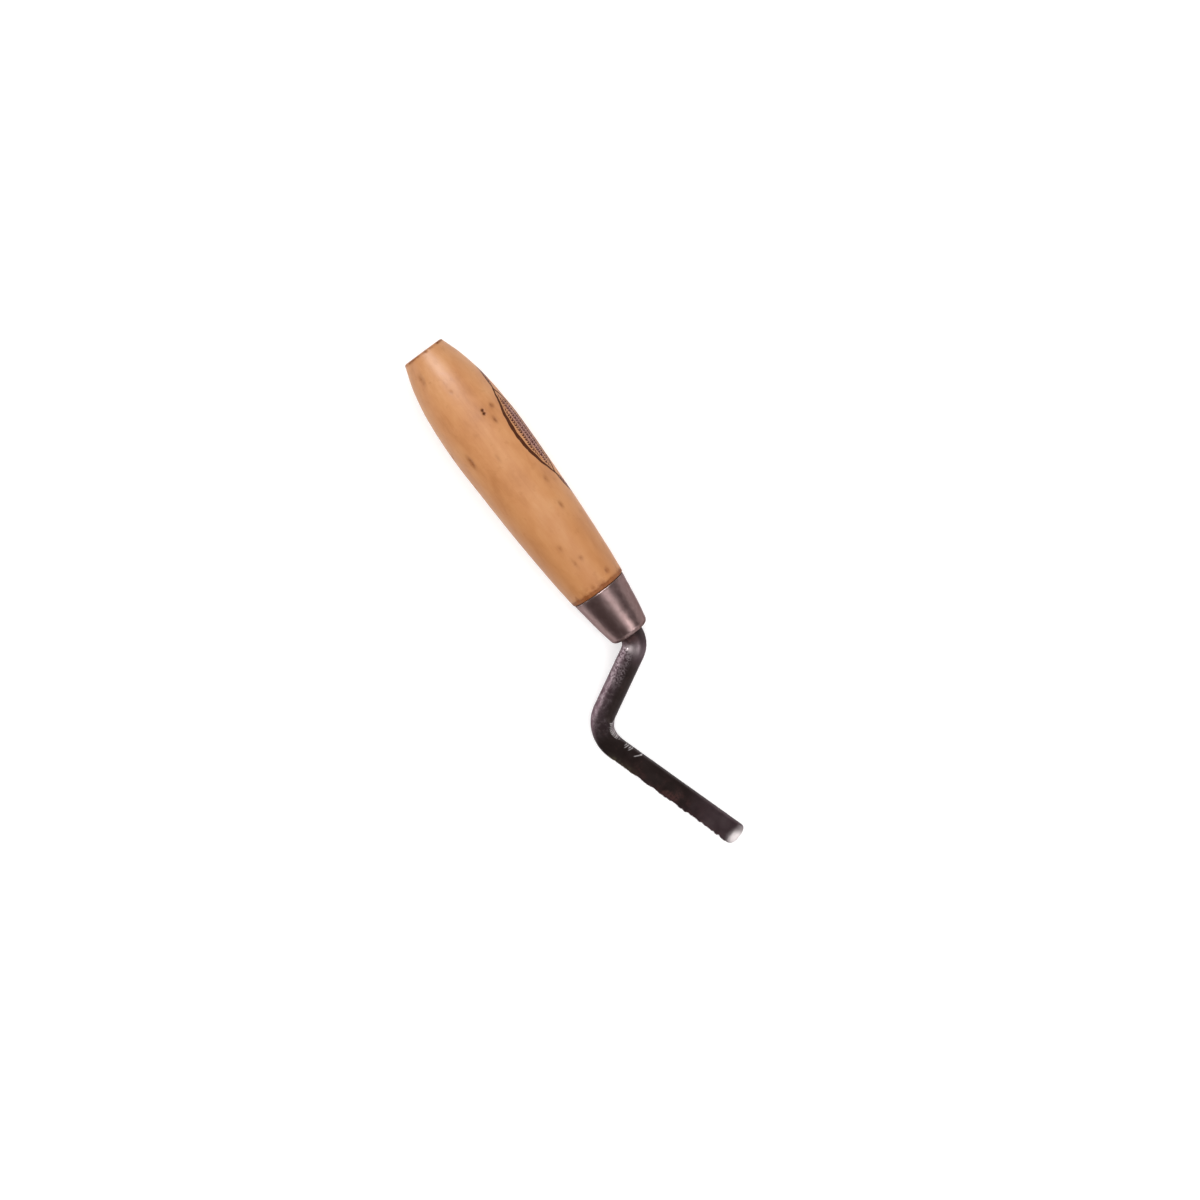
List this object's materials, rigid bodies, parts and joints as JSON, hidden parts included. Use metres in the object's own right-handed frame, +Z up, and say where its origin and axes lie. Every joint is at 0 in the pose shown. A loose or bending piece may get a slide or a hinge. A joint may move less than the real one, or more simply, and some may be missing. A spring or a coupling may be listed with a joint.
{
  "type": "lino cutter",
  "caption": "Hand cutter with a turned wooden handle, a tapered steel ferrule and a cranked steel bar drawn flat into a narrow blade with a bevelled end.",
  "frame": {"origin": "on the bench under the middle of the tool's box, with the tool lying on its side on the handle's barrel, the elbow of the crank and the blade's nose", "axes": "+X along the bench below the handle's axis, from the butt towards the blade; +Y to the side of the handle's top, away from the elbow of the crank; +Z up, out of the blade's bevelled face"},
  "size_m": [0.2206, 0.0522, 0.0319],
  "materials": {
    "beech": "pale beech under a warm satin varnish, with small dark dents and a dirt line beside the ferrule",
    "plated_steel": "satin nickel plate with fine scratches",
    "forged_steel": "dark forge scale, pitted along the shank, bare and bright inside the lower bend and on the ground bevel"
  },
  "bodies": {
    "root": {"handle": "beech", "ferrule": "plated_steel", "blade": "forged_steel"}
  },
  "joints": []
}
